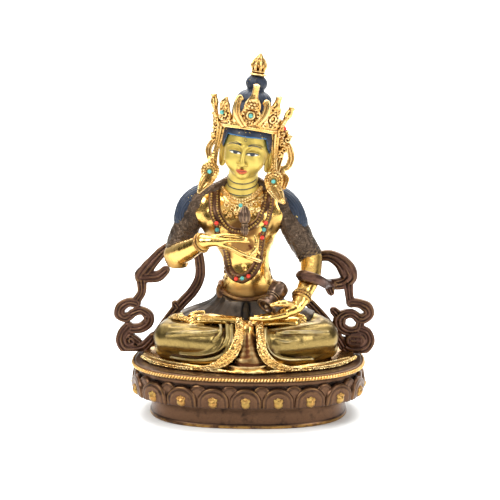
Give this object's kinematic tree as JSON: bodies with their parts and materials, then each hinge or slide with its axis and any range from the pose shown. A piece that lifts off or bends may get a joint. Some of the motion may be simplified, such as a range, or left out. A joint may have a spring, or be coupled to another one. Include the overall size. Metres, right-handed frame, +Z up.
{
  "type": "seated vajrasattva statue",
  "caption": "Seated crowned Buddhist deity on an oval lotus base, partly gilded copper with painted face and set stones, for display.",
  "frame": {"origin": "middle of the flat underside of the lotus base, at the level it stands on", "axes": "+Z up through the figure, -Y to the front where the figure faces, +X to the figure's left"},
  "size_m": [0.1547, 0.0984, 0.2096],
  "materials": {
    "gilded_copper": "polished fire gilding, worn to red-brown in the hollows",
    "oxidised_copper": "satin brown oxide patina on copper",
    "olive_gilding": "toned gilding, satin with polished high places",
    "matte_gold_paint": "matte cold gold paint",
    "blue_hair_paint": "matte mineral blue paint",
    "dark_bronze": "dark brown patina, rubbed on the edges",
    "turquoise": "polished turquoise cabochon",
    "coral": "polished coral cabochon"
  },
  "bodies": {
    "root": {"lotus_base": "oxidised_copper", "figure": "gilded_copper", "crown": "gilded_copper", "scarf_right": "oxidised_copper", "scarf_left": "oxidised_copper", "vajra": "dark_bronze", "bell": "dark_bronze", "coral_01": "coral", "coral_02": "coral", "coral_03": "coral", "coral_04": "coral", "coral_05": "coral", "coral_06": "coral", "turquoise_01": "turquoise", "turquoise_02": "turquoise", "turquoise_03": "turquoise", "turquoise_04": "turquoise", "turquoise_05": "turquoise", "turquoise_06": "turquoise", "turquoise_07": "turquoise", "turquoise_08": "turquoise"}
  },
  "joints": []
}
